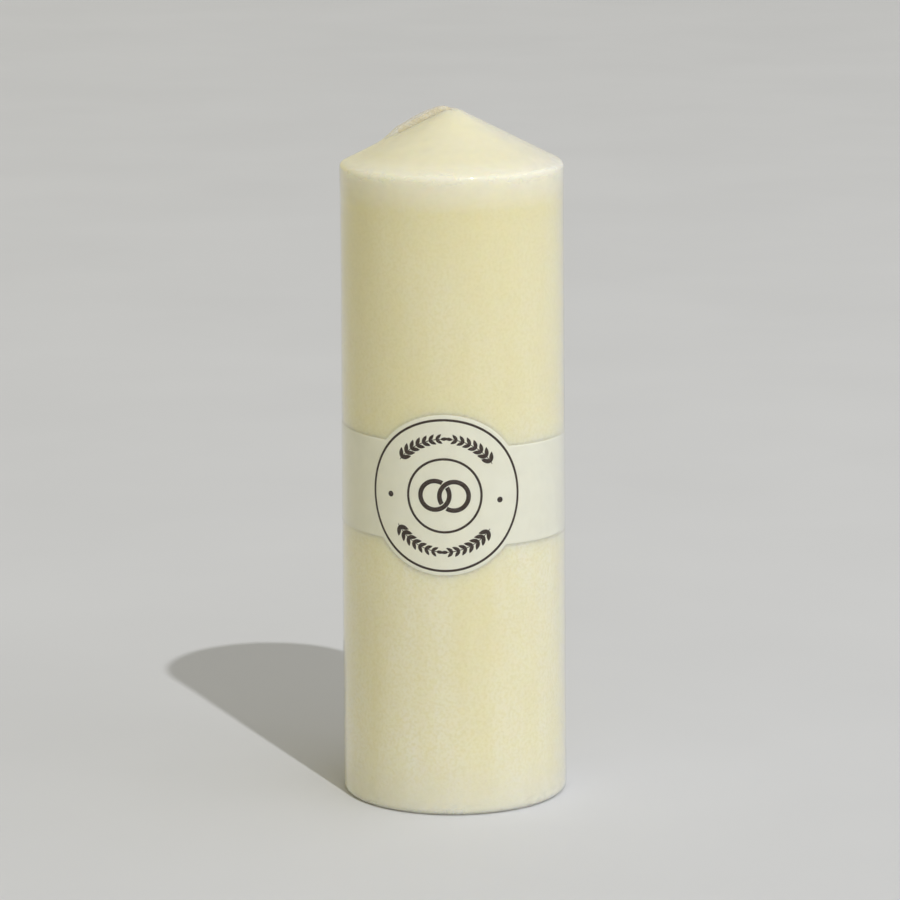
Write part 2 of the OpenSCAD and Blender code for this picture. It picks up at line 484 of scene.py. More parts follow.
class LabelSizes(bpy.types.PropertyGroup):
    """The paper band and its print"""
    band: FloatProperty(
        name="Band width", description="Width of the paper band", default=32.5 * MM, unit="LENGTH")
    tilt: FloatProperty(
        name="Tilt", description="How far the label sits off level, right side down",
        default=math.radians(2.5), subtype="ANGLE")
    paper: FloatProperty(
        name="Paper", description="Thickness of the paper", default=0.15 * MM, unit="LENGTH")
    clear: FloatProperty(
        name="Clearance", description="Gap between paper and wax", default=0.05 * MM, unit="LENGTH")
    lap: FloatProperty(
        name="Lap", description="Length of the band that laps over itself at the back",
        default=14 * MM, unit="LENGTH")
    lap_rise: FloatProperty(
        name="Lap rise", description="How far the outer end of the lap stands over the wax",
        default=0.38 * MM, unit="LENGTH")
    outer_ring: FloatProperty(
        name="Outer ring", description="Radius of the outer printed ring",
        default=24.8 * MM, unit="LENGTH")
    inner_ring: FloatProperty(
        name="Inner ring", description="Radius of the inner printed ring",
        default=12.0 * MM, unit="LENGTH")
    line: FloatProperty(
        name="Line", description="Width of the printed rings", default=0.78 * MM, unit="LENGTH")
    dot: FloatProperty(
        name="Dot", description="Radius of the dots at the sides", default=0.95 * MM, unit="LENGTH")
    spray: FloatProperty(
        name="Spray radius", description="Radius of the arc that the leaf sprays follow",
        default=18.6 * MM, unit="LENGTH")
    paper_colour: FloatVectorProperty(
        name="Paper colour", description="Ivory uncoated paper", subtype="COLOR",
        size=3, default=(0.81, 0.80, 0.665), min=0, max=1)
    ink_colour: FloatVectorProperty(
        name="Ink colour", description="Warm black print", subtype="COLOR",
        size=3, default=(0.030, 0.016, 0.008), min=0, max=1)


class FilmSizes(bpy.types.PropertyGroup):
    """The shrink film and its haze"""
    thickness: FloatProperty(
        name="Thickness", description="Thickness of the film", default=0.04 * MM, unit="LENGTH")
    bridge: FloatProperty(
        name="Bridge", description="Width over which the film comes down from an edge of the label",
        default=0.9 * MM, unit="LENGTH")
    slack: FloatProperty(
        name="Slack", description="Height of the soft shrink ripples of the film",
        default=0.035 * MM, unit="LENGTH")
    crinkle: FloatProperty(
        name="Crinkle", description="Strength of the fine crinkles that break up reflections",
        default=0.25, min=0, max=1)
    roughness: FloatProperty(
        name="Roughness", description="Roughness of the gloss", default=0.09, min=0, max=1)
    ior: FloatProperty(
        name="Refraction", description="Index of refraction", default=1.30, min=1, max=2)
    haze: FloatProperty(
        name="Haze", description="White haze seen straight on", default=0.008, min=0, max=1)
    edge_haze: FloatProperty(
        name="Edge haze", description="Further haze where the film is seen edge on",
        default=0.02, min=0, max=1)
    loose_haze: FloatProperty(
        name="Loose haze", description="Further haze where the film is loose",
        default=0.28, min=0, max=1)
    loose_gap: FloatProperty(
        name="Loose gap", description="How much further the film stands off the wax where it is loose",
        default=0.18 * MM, min=0, unit="LENGTH")
    loose_down: FloatProperty(
        name="Loose below shoulder", description="How far down from the shoulder the film is loose",
        default=11 * MM, unit="LENGTH")
    loose_up: FloatProperty(
        name="Loose above foot", description="How far up from the foot the film is loose",
        default=16 * MM, unit="LENGTH")
    crease_haze: FloatProperty(
        name="Crease haze", description="Further haze of the small creases along the foot",
        default=0.14, min=0, max=1)
    stand: FloatProperty(
        name="Stand-off", description="Usual gap between the film and the wax",
        default=0.15 * MM, min=0, unit="LENGTH")
    bag: FloatProperty(
        name="Bag", description="How far the film stands over the middle of the folded wick",
        default=0.8 * MM, min=0, unit="LENGTH")
    seam: FloatProperty(
        name="Seam", description="Height of the sealed seam up the back",
        default=0.16 * MM, min=0, unit="LENGTH")
    haze_colour: FloatVectorProperty(
        name="Haze colour", description="Colour of the haze", subtype="COLOR",
        size=3, default=(0.96, 0.955, 0.93), min=0, max=1)


class StageSizes(bpy.types.PropertyGroup):
    """Camera, floor and lamps"""
    camera_turn: FloatProperty(
        name="Camera turn", description="Angle of the camera round the candle, towards +X",
        default=math.radians(4.69), subtype="ANGLE")
    camera_aside: FloatProperty(
        name="Camera aside", description="How far the camera is turned off the candle's axis",
        default=math.radians(0.047), subtype="ANGLE")
    camera_distance: FloatProperty(
        name="Camera distance", description="Level distance from the candle's axis",
        default=1.3671, unit="LENGTH")
    camera_height: FloatProperty(
        name="Camera height", description="Height over the table", default=0.4005, unit="LENGTH")
    camera_pitch: FloatProperty(
        name="Camera pitch", description="Angle of the view under level",
        default=math.radians(11.82), subtype="ANGLE")
    camera_roll: FloatProperty(
        name="Camera roll", description="Angle of the camera about its line of sight",
        default=math.radians(-0.36), subtype="ANGLE")
    camera_lens: FloatProperty(
        name="Lens", description="Focal length in millimetres on a 36 mm sensor",
        default=169.5, min=1)
    floor_width: FloatProperty(
        name="Floor width", description="Width of the pale floor", default=30, unit="LENGTH")
    floor_colour: FloatVectorProperty(
        name="Floor colour", description="Pale neutral floor", subtype="COLOR",
        size=3, default=(0.640, 0.648, 0.672), min=0, max=1)
    key_turn: FloatProperty(
        name="Key turn", description="Angle of the main lamp round from the camera, towards +X",
        default=math.radians(24.3), subtype="ANGLE")
    key_rise: FloatProperty(
        name="Key rise", description="Angle of the main lamp over level",
        default=math.radians(50.8), subtype="ANGLE")
    key_power: FloatProperty(
        name="Key power", description="Strength of the main lamp", default=1.5, min=0)
    strip_power: FloatProperty(
        name="Strip power", description="Power of each long soft lamp on the right, in watts",
        default=5.0, min=0)
    room: FloatVectorProperty(
        name="Room light", description="Light that comes level from all round", subtype="COLOR",
        size=3, default=(0.66, 0.66, 0.67), min=0, max=2)
    ceiling: FloatVectorProperty(
        name="Ceiling light", description="Light that comes from straight above", subtype="COLOR",
        size=3, default=(0.34, 0.34, 0.34), min=0, max=2)
    warm: FloatVectorProperty(
        name="Warm wall", description="Light that comes level from the left", subtype="COLOR",
        size=3, default=(0.70, 0.61, 0.22), min=0, max=2)


# ---------------------------------------------------------------- where things lie

def side_shoulder():
    """Height of the shoulder: where the outline leaves the side for the cone."""
    slope = np.diff(SIDE_R) / np.maximum(np.diff(SIDE_Z), 1e-7)
    return float(SIDE_Z[np.argmax(slope < -0.3)])


def wax_path(wax):
    """The outside of the wax as (radius, height) points: out across the foot from its centre,
    round the foot's edge, up the side, round the shoulder and up the cone to the tip. Corners
    of the measured outline are softened by a running mean a fraction of a millimetre long, and
    the tip is raised by a smooth mound, where wax has crept up the wick."""
    mound = wax.mound * (1 - smooth((SIDE_R - 1.2 * MM) / (7 * MM))) * (SIDE_Z > side_shoulder())
    points = np.stack([np.append(0, SIDE_R), np.append(SIDE_Z[0], SIDE_Z + mound)], -1)
    step = np.hypot(*np.diff(points, axis=0).T)
    length = np.concatenate([[0], np.cumsum(step)])
    fine = np.linspace(0, length[-1], int(length[-1] / (0.1 * MM)))
    pad, window = 4, np.ones(9) / 9
    path = np.stack([np.interp(fine, length, points[:, k]) for k in (0, 1)], -1)
    for k in (0, 1):
        path[pad:-pad, k] = np.convolve(path[:, k], window, "valid")
    return path


def path_length_at(path, height):
    """Length along the path to where it first reaches a height over the foot."""
    length = np.concatenate([[0], np.cumsum(np.hypot(*np.diff(path, axis=0).T))])
    return float(length[np.argmax(path[:, 1] >= height)])


class Place:
    """Where the label lies: its centre height, its radius, and flat label places on the wax."""

    def __init__(self, label):
        low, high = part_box("band_label")
        self.centre = (low.z + high.z) / 2
        self.disc = (high.z - low.z) / 2
        self.radius = float(side_radius(self.centre)) + label.clear
        self.tilt = label.tilt

    def wrap(self, u, w, out):
        """Points `out` from the wax at u along the label and w up it: u goes round the candle,
        and the tilt lowers the right side, by a sine round the candle so that the band meets."""
        turn = u / self.radius
        theta = turn + w * math.sin(self.tilt) * np.cos(turn) / self.radius
        height = (self.centre + w * math.cos(self.tilt)
                  - math.tan(self.tilt) * self.radius * np.sin(turn))
        return turned_points(theta, side_radius(height) + out, height)

    def flat(self, theta, height):
        """u and w of places on the wax, the other way round from wrap."""
        down = math.tan(self.tilt) * self.radius * np.sin(theta)
        w = (height - self.centre + down) / math.cos(self.tilt)
        turn = np.mod(theta + math.pi, TURN) - math.pi
        return self.radius * turn - w * math.sin(self.tilt) * np.cos(turn), w


def wick_route():
    """The wick's centre line in the X-Z plane, as (distance towards -X, height), and its radius:
    up the bore, over the tip in a quarter turn and down along the cone, at its CAD solid's place.
    Corners are softened by a running mean as long as the wick is thick."""
    low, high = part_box("wick")
    radius = -float(low.y) * 0.94  # its box is as wide as its knee, which is a little swollen
    level = float(high.z) - float(-low.y)
    bed = 0.5 * radius
    reach = np.linspace(0, 1, 60) * (-float(low.x) - 0.4 * radius)
    cone_z = np.interp(reach, SIDE_R[::-1], SIDE_Z[::-1])
    slope = (np.interp(8 * MM, SIDE_R[::-1], SIDE_Z[::-1])
             - np.interp(20 * MM, SIDE_R[::-1], SIDE_Z[::-1])) / (12 * MM)
    over = cone_z + (radius - bed) * math.hypot(1, slope)
    draped = np.stack([reach, np.minimum(over, level)], -1)[4:]
    bore = np.stack([np.zeros(2), np.array([float(low.z), level - 1.2 * radius])], -1)
    route = np.concatenate([bore, draped])
    step = np.hypot(*np.diff(route, axis=0).T)
    length = np.concatenate([[0], np.cumsum(step)])
    fine = np.linspace(0, length[-1], int(length[-1] / (0.1 * MM)))
    path = np.stack([np.interp(fine, length, route[:, k]) for k in (0, 1)], -1)
    half = 9
    window = np.ones(2 * half + 1) / (2 * half + 1)
    for _ in range(2):
        for k in (0, 1):
            path[half:-half, k] = np.convolve(path[:, k], window, "valid")
    return path, radius


# ---------------------------------------------------------------- pieces

class CANDLE_OT_wax(bpy.types.Operator):
    """Turn the outline of the dipped wax round the core, sunk here and there by cosine ripples"""
    bl_idname = "unity_candle.wax"
    bl_label = "Dipped wax"

    def execute(self, context):
        wax = context.scene.candle_wax
        path = wax_path(wax)
        pocket = np.hypot(*node_points("wick_sustainer")[:, :2].T).max() + 0.1 * MM
        ceiling = float(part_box("wax_core")[0].z)
        bore = -float(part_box("wick")[0].y) * 0.98
        foot = path_length_at(path, path[0, 1] + 1 * MM)
        shoulder = path_length_at(path, side_shoulder())
        length = np.hypot(*np.diff(path, axis=0).T).sum()
        r, z, nr, nz = along(
            path, (pocket, foot - 3 * MM, 6), (foot - 3 * MM, foot + 3 * MM, 16),
            (foot + 3 * MM, shoulder - 4 * MM, 110), (shoulder - 4 * MM, shoulder + 3 * MM, 18),
            (shoulder + 3 * MM, length - 10 * MM, 26), (length - 10 * MM, length - bore, 20))
        theta = np.linspace(0, TURN, 320, endpoint=False)
        r, z, nr, nz = r[:, None], z[:, None], nr[:, None], nz[:, None]
        dips = ripples(theta, z, 5, 14, 7, 14) + 0.5 * ripples(theta, z, 6, 14, 22, 30)
        sunk = -wax.relief * np.clip(0.5 + 0.35 * dips, 0, 1) * smooth((z - z[0]) / (4 * MM))
        outside = turned_points(theta, r + nr * sunk, z + nz * sunk)
        # the pocket for the sustainer and the bore for the wick close the ring of rows
        inside_r = np.array([bore, bore, bore, pocket, pocket, pocket])
        halfway = 100 * MM
        inside_z = np.array([z[-1, 0] - 1 * MM, halfway, ceiling, ceiling, ceiling - 0.1 * MM,
                             z[0, 0] + 0.1 * MM])
        inside = turned_points(theta, inside_r[:, None], inside_z[:, None])
        rows = len(r) + len(inside_r)
        points = np.concatenate([outside.reshape(-1, 3), inside.reshape(-1, 3)])
        piece = put_mesh("dipped_wax", points, grid_quads(rows, len(theta), 0, True, True))
        finish_piece(piece, "dipped_wax", dipped_wax(wax), "dipped_skin")
        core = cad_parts["wax_core"]
        core.data.materials.clear()
        core.data.materials.append(core_wax(wax))
        return {"FINISHED"}


class CANDLE_OT_wick(bpy.types.Operator):
    """Braid the wick along its route: strands wound round it both ways, each a flattened tube that
    passes over and under the others by a cosine of the way along"""
    bl_idname = "unity_candle.wick"
    bl_label = "Wick"

    def execute(self, context):
        wick = context.scene.candle_wick
        route, radius = wick_route()
        step = np.hypot(*np.diff(route, axis=0).T)
        length = np.concatenate([[0], np.cumsum(step)])
        seen = 24 * MM
        bore_end = length[-1] - seen
        at = np.concatenate([np.linspace(0, bore_end, 260, endpoint=False),
                             np.linspace(bore_end, length[-1], 110)])
        x, z = (np.interp(at, length, route[:, k]) for k in (0, 1))
        dx, dz = np.gradient(x, at), np.gradient(z, at)
        size = np.hypot(dx, dz)
        dx, dz = dx / size, dz / size
        tail = smooth((at - bore_end) / seen)
        sway = 0.35 * MM * np.sin(tail * 5.0) * tail
        centre = np.stack([-x, sway, z], -1)
        across = np.broadcast_to([0.0, 1.0, 0.0], centre.shape)
        outward = np.stack([-dz, np.zeros_like(dx), -dx], -1)
        outward[at < 1e-9] = outward[1]
        half = wick.strands // 2
        strand_r = 0.43 * radius
        sides = np.linspace(0, TURN, 9, endpoint=False)
        points, quads, tris, start = [], [], [], 0
        for k in range(wick.strands):
            hand = 1 if k < half else -1
            wound = hand * at / wick.pitch * TURN + (k % half) * TURN / half
            weave = hand * np.cos(half * at / wick.pitch * TURN)
            lie = radius - strand_r * 1.18 + 0.16 * strand_r * weave
            around = np.cos(wound)[:, None] * outward + np.sin(wound)[:, None] * across
            aside = -np.sin(wound)[:, None] * outward + np.cos(wound)[:, None] * across
            axis = centre + lie[:, None] * around
            thick = strand_r * (1 + 0.06 * np.cos(at / (0.9 * MM) + k))[:, None]
            ring = (axis[:, None] + (thick * np.cos(sides))[..., None] * around[:, None]
                    + (1.25 * thick * np.sin(sides))[..., None] * aside[:, None])
            ends = np.stack([axis[0], axis[-1]])
            rows, cols = len(at), len(sides)
            body = grid_quads(rows, cols, start, False, True)
            j = np.arange(cols)
            nxt = (j + 1) % cols
            last = start + (rows - 1) * cols
            middle = np.full(cols, start + rows * cols)
            points += [ring.reshape(-1, 3), ends]
            quads.append(body)
            tris.append(np.stack([middle, start + nxt, start + j], -1))
            tris.append(np.stack([middle + 1, last + j, last + nxt], -1))
            start += rows * cols + 2
        piece = put_mesh("braided_wick", *(np.concatenate(part) for part in (points, quads, tris)))
        finish_piece(piece, "cotton", waxed_cotton(wick), "wick")
        return {"FINISHED"}


class CANDLE_OT_sustainer(bpy.types.Operator):
    """Press the tinplate sustainer: a beaded disc with a crimped neck"""
    bl_idname = "unity_candle.sustainer"
    bl_label = "Wick sustainer"

    def execute(self, context):
        sustainer = context.scene.candle_sustainer
        points = node_points("wick_sustainer")
        radius = np.hypot(points[:, 0], points[:, 1])
        disc, bore = radius.max(), radius.min()
        low, top = points[:, 2].min(), points[:, 2].max()
        sheet = np.sort(np.unique(np.round(points[:, 2], 6)))[1] - low
        neck = radius[points[:, 2] > top - 0.5 * sheet].max()
        across = np.linspace(bore + 0.15 * MM, disc, 40)
        bead = sustainer.bead * np.exp(-((across - 0.68 * disc) / (0.6 * MM)) ** 2)
        under = np.stack([across, low + bead * 0.8], -1)
        over = np.stack([across[::-1], low + sheet + bead[::-1]], -1)[:-4]
        over[:, 0] = np.maximum(over[:, 0], neck + 0.1 * MM)
        rise = np.linspace(low + sheet + 0.2 * MM, top, 24)
        outer = np.stack([np.full(24, neck), rise], -1)
        inner = np.stack([np.full(25, bore), np.linspace(top, low + 0.15 * MM, 25)], -1)
        path = np.concatenate([under, over, outer, inner])
        theta = np.linspace(0, TURN, 128, endpoint=False)
        radii, heights = path[:, :1], path[:, 1:]
        crimp = smooth((heights - low - 2 * MM) / MM) * smooth((top - 0.8 * MM - heights) / MM)
        outside = radii > bore + 0.01 * MM
        squeeze = 0.10 * MM * crimp * np.clip(np.cos(4 * theta), 0, 1) * outside
        ring = turned_points(theta, radii - squeeze, heights)
        piece = put_mesh("sustainer", ring.reshape(-1, 3), grid_quads(len(path), len(theta), 0, True, True))
        finish_piece(piece, "tinplate", tinplate(sustainer), "wick_sustainer")
        return {"FINISHED"}


def sheet_mesh(top, bottom):
    """Points and quads of a closed thin sheet: two grids of points, outer and inner, and a rim."""
    rows, cols = top.shape[:2]
    n = rows * cols
    quads = [grid_quads(rows, cols), grid_quads(rows, cols, n)[:, ::-1]]
    index = np.arange(n).reshape(rows, cols)
    for edge in (index[0, :], index[:, -1], index[-1, ::-1], index[::-1, 0]):
        a, b = edge[:-1], edge[1:]
        quads.append(np.stack([b, a, a + n, b + n], -1))
    return np.concatenate([top.reshape(-1, 3), bottom.reshape(-1, 3)]), np.concatenate(quads)


class CANDLE_OT_label(bpy.types.Operator):
    """Wrap the paper band with its round front, and the glue in its lap"""
    bl_idname = "unity_candle.label"
    bl_label = "Band label"

    def execute(self, context):
        label = context.scene.candle_label
        place = Place(label)
        end = math.pi * place.radius + label.lap / 2
        arm = math.sqrt(place.disc ** 2 - (label.band / 2) ** 2)
        swing = np.linspace(-1, 1, 97) * math.asin(arm / place.disc)
        front = place.disc * np.sin(swing)
        side = np.linspace(arm, end, 190)[1:]
        u = np.concatenate([-side[::-1], front, side])
        half = np.maximum(label.band / 2, np.sqrt(np.maximum(place.disc ** 2 - u ** 2, 0)))
        inner_v = np.linspace(-0.96, 0.96, 31)
        v = np.concatenate([[-1, -0.994, -0.985], inner_v, [0.985, 0.994, 1]])
        w = v[:, None] * half
        step = smooth((u - (end - label.lap - 2.5 * MM)) / (2 * MM))
        out = label.clear + (label.lap_rise - label.clear) * step
        edge = smooth((np.abs(v) - 0.9) / 0.1)[:, None]
        lift = 0.03 * MM * edge * np.clip(ripples(u / place.radius, 0 * u, 11, 8, 9, 0), 0, 1)
        u = np.broadcast_to(u, w.shape)
        # the die cut squeezes the paper thinner along its edges
        pressed = smooth((np.abs(w) - half + 0.35 * MM) / (0.35 * MM))
        top = place.wrap(u, w, out + lift + label.paper * (1 - 0.7 * pressed))
        bottom = place.wrap(u, w, out + lift)
        piece = put_mesh("paper_band", *sheet_mesh(top, bottom))
        finish_piece(piece, "label_paper", label_paper(label), "band_label")

        low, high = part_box("label_glue")
        wide, tall = (high.x - low.x) / 2, (high.z - low.z) / 2
        a, b = np.meshgrid(np.linspace(-1, 1, 25), np.linspace(-1, 1, 41))
        ragged = 0.93 + 0.04 * np.cos(7 * a + 2) * np.cos(9 * b + 1)
        gu = -math.pi * place.radius + a * wide * ragged * np.sqrt(1 - b ** 2 * 0.12)
        gw = b * tall * ragged * np.sqrt(1 - a ** 2 * 0.06)
        rest = label.clear + label.paper + 0.04 * MM
        glue_top = place.wrap(gu, gw, rest + 0.08 * MM * (1 - 0.3 * np.maximum(a ** 6, b ** 6)))
        glue = put_mesh("lap_glue", *sheet_mesh(glue_top, place.wrap(gu, gw, rest)))
        finish_piece(glue, "glue", dried_glue(label), "label_glue")
        return {"FINISHED"}


class Print:
    """Ink laid on the label: closed slabs a hair over the paper, gathered into one mesh."""

    def __init__(self, place, level):
        self.place, self.level = place, level
        self.points, self.quads, self.start = [], [], 0

    def lay(self, u, w):
        """A slab over a grid of flat places."""
        top = self.place.wrap(u, w, self.level + 0.02 * MM)
        bottom = self.place.wrap(u, w, self.level - 0.02 * MM)
        points, quads = sheet_mesh(top, bottom)
        if np.cross(top[1, 0] - top[0, 0], top[0, 1] - top[0, 0]) @ top[0, 0] > 0:
            quads = quads[:, ::-1]
        self.points.append(points)
        self.quads.append(quads + self.start)
        self.start += len(points)

    def ring(self, u0, w0, radius, line, begin=0.0, finish=TURN, steps=180):
        """A ring, or a stretch of one, of a line's width about a centre."""
        across = line * np.linspace(0.5, -0.5, 3)
        t, r = np.meshgrid(np.linspace(begin, finish, steps), radius + across)
        self.lay(u0 + r * np.sin(t), w0 + r * np.cos(t))

    def dot(self, u0, w0, radius):
        """A filled dot: a ring whose line reaches its centre."""
        self.ring(u0, w0, radius * 0.51, radius * 0.98, steps=40)

    def leaf(self, u0, w0, heading, length, width):
        """A pointed leaf: its half width is the sine of the way along, to the power 0.8."""
        t, side = np.meshgrid(np.linspace(0, 1, 15), np.linspace(1, -1, 5))
        across = side * width / 2 * np.sin(np.pi * np.clip(t, 1e-3, 1 - 1e-3) ** 0.85) ** 0.8
        ahead = t * length
        self.lay(u0 + ahead * np.sin(heading) + across * np.cos(heading),
                 w0 + ahead * np.cos(heading) - across * np.sin(heading))

    def spray(self, radius, middle, hand):
        """Half a wreath: a stem along an arc from near the middle, and leaves in pairs."""
        first, last, pairs = math.radians(6), math.radians(55), 7
        begin, finish = sorted((middle + hand * first, middle + hand * last))
        self.ring(0, 0, radius, 0.28 * MM, begin, finish, 50)
        for k in range(pairs):
            at = middle + hand * (last - (last - first) * (k + 0.3) / pairs)
            size = (3.5 - 0.16 * k) * MM
            ahead = at - hand * math.pi / 2
            for side in (-1, 1):
                self.leaf(radius * math.sin(at), radius * math.cos(at),
                          ahead + side * math.radians(38), size, 0.42 * size)
        tip = middle + hand * first
        self.leaf(radius * math.sin(tip), radius * math.cos(tip),
                  tip - hand * math.pi / 2, 2.6 * MM, 1.1 * MM)


class CANDLE_OT_print(bpy.types.Operator):
    """Print the label: two line rings, dots, leaf sprays and a pair of linked rings"""
    bl_idname = "unity_candle.print"
    bl_label = "Label print"

    def execute(self, context):
        label = context.scene.candle_label
        ink = Print(Place(label), label.clear + label.paper)
        for radius in (label.outer_ring, label.inner_ring):
            ink.ring(0, 0, radius, label.line)
        for side in (-1, 1):
            ink.dot(side * 0.985 * label.spray, -1.2 * MM, label.dot)
            for middle in (0, math.pi):
                ink.spray(label.spray, middle, side)
        # a pair of linked rings: each passes under the other once, with a gap in its line
        radius, apart, line = 4.7 * MM, 3.1 * MM, 1.5 * MM
        crossing, gap = math.acos(apart / radius), math.radians(13)
        ink.ring(-apart, 0, radius, line, math.pi / 2 - crossing + gap,
                 math.pi / 2 - crossing - gap + TURN, 120)
        over = -math.pi / 2 - crossing
        ink.ring(apart, 0, radius, line, over + gap, over - gap + TURN, 120)
        piece = put_mesh("label_print", np.concatenate(ink.points), np.concatenate(ink.quads))
        finish_piece(piece, "black_ink", label_ink(label))
        return {"FINISHED"}


class CANDLE_OT_film(bpy.types.Operator):
    """Shrink the clear film over wax, label and wick: the outline of the wax turned, and pushed out
    along its normal by the stand-off, the looseness, the ripples, the label and a bell-shaped seam"""
    bl_idname = "unity_candle.film"
    bl_label = "Shrink film"

    def execute(self, context):
        film, label = context.scene.candle_film, context.scene.candle_label
        place = Place(label)
        path = wax_path(context.scene.candle_wax)
        points = node_points("shrink_film")
        reach = np.hypot(points[:, 0], points[:, 1])
        eye = reach[points[:, 2] < 0.1 * MM].min()
        foot = path_length_at(path, path[0, 1] + 1 * MM)
        low = path_length_at(path, place.centre - place.disc - 3 * MM)
        high = path_length_at(path, place.centre + place.disc + 3 * MM)
        shoulder = path_length_at(path, side_shoulder())
        length = np.hypot(*np.diff(path, axis=0).T).sum()
        r, z, nr, nz = along(
            path, (eye, foot - 3 * MM, 14), (foot - 3 * MM, foot + 3 * MM, 12),
            (foot + 3 * MM, low, 26), (low, high, 84), (high, shoulder - 12 * MM, 22),
            (shoulder - 12 * MM, shoulder - 4 * MM, 10), (shoulder - 4 * MM, shoulder + 3 * MM, 14),
            (shoulder + 3 * MM, length - 0.4 * MM, 36))
        # columns lie closer over the label's front and over the seam
        edges = np.radians([-50, 50, 176.5, 183.5, 310])
        theta = np.concatenate([np.linspace(a, b, n, endpoint=False)
                                for a, b, n in zip(edges, edges[1:], (100, 68, 18, 68))])
        T, Z = np.meshgrid(theta, z)
        R = np.broadcast_to(r[:, None], T.shape)
        loose = self.looseness(film, T, Z, z[0])
        rise = film.stand + film.loose_gap * loose + self.shrink_ripples(film, T, R, Z, z[0])
        hold, open_under = self.over_label(place, label, film, T, Z)
        least = 0.04 * MM
        rise = np.clip(rise, least + hold, least + label.lap_rise + label.paper)
        loose = np.maximum(loose, 0.4 * np.minimum(hold / (0.2 * MM), 1)) * open_under
        off_seam = (T - math.pi) * np.maximum(R, 4 * MM)
        seam = film.seam * np.exp(-(off_seam / (0.5 * MM)) ** 2) * smooth((R - 3 * MM) / MM)
        rise = np.minimum(rise + seam, np.maximum(rise, 0.30 * MM))
        nr, nz = nr[:, None], nz[:, None]
        over = rise + film.thickness
        outer = turned_points(T, R + nr * over, Z + nz * over)
        inner = turned_points(T, R + nr * rise, Z + nz * rise)
        lift = self.over_wick(inner, film)
        loose = np.maximum(loose, 0.9 * smooth(lift / (0.8 * MM)))
        outer[..., 2] += lift
        inner[..., 2] += lift
        inner[..., 2] = np.maximum(inner[..., 2], film.thickness)
        outer[..., 2] = np.maximum(outer[..., 2], 0.0)
        rows, cols = T.shape
        n = rows * cols
        top = np.array([[0, 0, outer[-1, :, 2].mean()], [0, 0, inner[-1, :, 2].mean()]])
        j = np.arange(cols)
        nxt = (j + 1) % cols
        last = n - cols
        quads = np.concatenate([
            grid_quads(rows, cols, 0, False, True),
            grid_quads(rows, cols, n, False, True)[:, ::-1],
            np.stack([nxt, j, j + n, nxt + n], -1)])
        tris = np.concatenate([
            np.stack([last + j, last + nxt, np.full(cols, 2 * n)], -1),
            np.stack([n + last + nxt, n + last + j, np.full(cols, 2 * n + 1)], -1)])
        every = np.concatenate([outer.reshape(-1, 3), inner.reshape(-1, 3), top])
        piece = put_mesh("clear_film", every, quads, tris)
        stored = piece.data.attributes.new("loose", "FLOAT", "POINT")
        tip_loose = 0.3
        stored.data.foreach_set("value", [*loose.ravel(), *loose.ravel(), tip_loose, tip_loose])
        finish_piece(piece, "clear_film", clear_film(film), "shrink_film")
        return {"FINISHED"}

    def looseness(self, film, theta, height, foot_z):
        """How loose the film is, 0 to 1: fully just under the shoulder, less over the cone, a
        little along the foot, and in one bulge low on the left."""
        shoulder = side_shoulder()
        levels = np.array([-film.loose_down, -0.5 * MM, 0.3 * MM, 3 * MM]) + shoulder
        top = np.interp(height, levels, [0, 1, 1, 0.55])
        foot = (0.5 * (1 - smooth((height - foot_z) / film.loose_up))
                + 0.4 * (1 - smooth((height - foot_z) / (2.5 * MM))))
        round_by = np.mod(theta - math.radians(-84) + math.pi, TURN) - math.pi
        bulge = 0.55 * np.exp(-(round_by / math.radians(8)) ** 2 - ((height - 17 * MM) / (9 * MM)) ** 2)
        return np.maximum(np.maximum(top, foot), bulge)

    def over_label(self, place, label, film, theta, height):
        """How far the label holds the film off the wax: the paper's height inside its outline,
        coming down smoothly over the bridge outside it. Also 1 where nothing but wax lies under
        the film, and 0 inside the label's outline."""
        u, w = place.flat(theta, height)
        inside = np.maximum(label.band / 2 - np.abs(w), place.disc - np.hypot(u, w))
        cover = smooth(1 + inside / film.bridge)
        back = math.pi * place.radius - np.abs(u)
        lap = smooth((label.lap / 2 + 2 * MM - back) / (2 * MM))
        hold = cover * (label.clear + label.paper + lap * (label.lap_rise - label.clear))
        return hold, 1 - smooth(0.7 + inside / film.bridge)

    def over_wick(self, points, film):
        """How far the folded wick lifts the film off the cone: to its round top over the wick,
        with a sine arch of slack along it, and beside and beyond it along a straight tent that
        slopes down to meet the wax."""
        route, radius = wick_route()
        x, y, z = points[..., 0], points[..., 1], points[..., 2]
        bend = int(np.argmax(route[:, 0] > 0.3 * MM))
        reach = np.clip(-x, 0, route[-1, 0])
        crest = np.interp(reach, route[bend:, 0], route[bend:, 1])
        way = np.clip((reach - 3 * MM) / (route[-1, 0] - 2 * MM), 0, 1)
        crest = crest + film.bag * np.sin(math.pi * way)
        off = np.hypot(y, -x - reach)
        over = crest + np.sqrt(np.clip(radius ** 2 - off ** 2, 0, None)) * 1.04 + 0.04 * MM
        tangent = 0.72 * radius
        tent = crest + 0.74 * radius - 0.95 * (off - tangent)
        top = np.where(off < tangent, over, tent)
        gap = np.where(z > side_shoulder() - 2 * MM, top - z, -1.0)
        soft = 0.9 * MM
        return np.where(gap < -soft, 0, np.where(gap > soft, gap, (gap + soft) ** 2 / (4 * soft)))

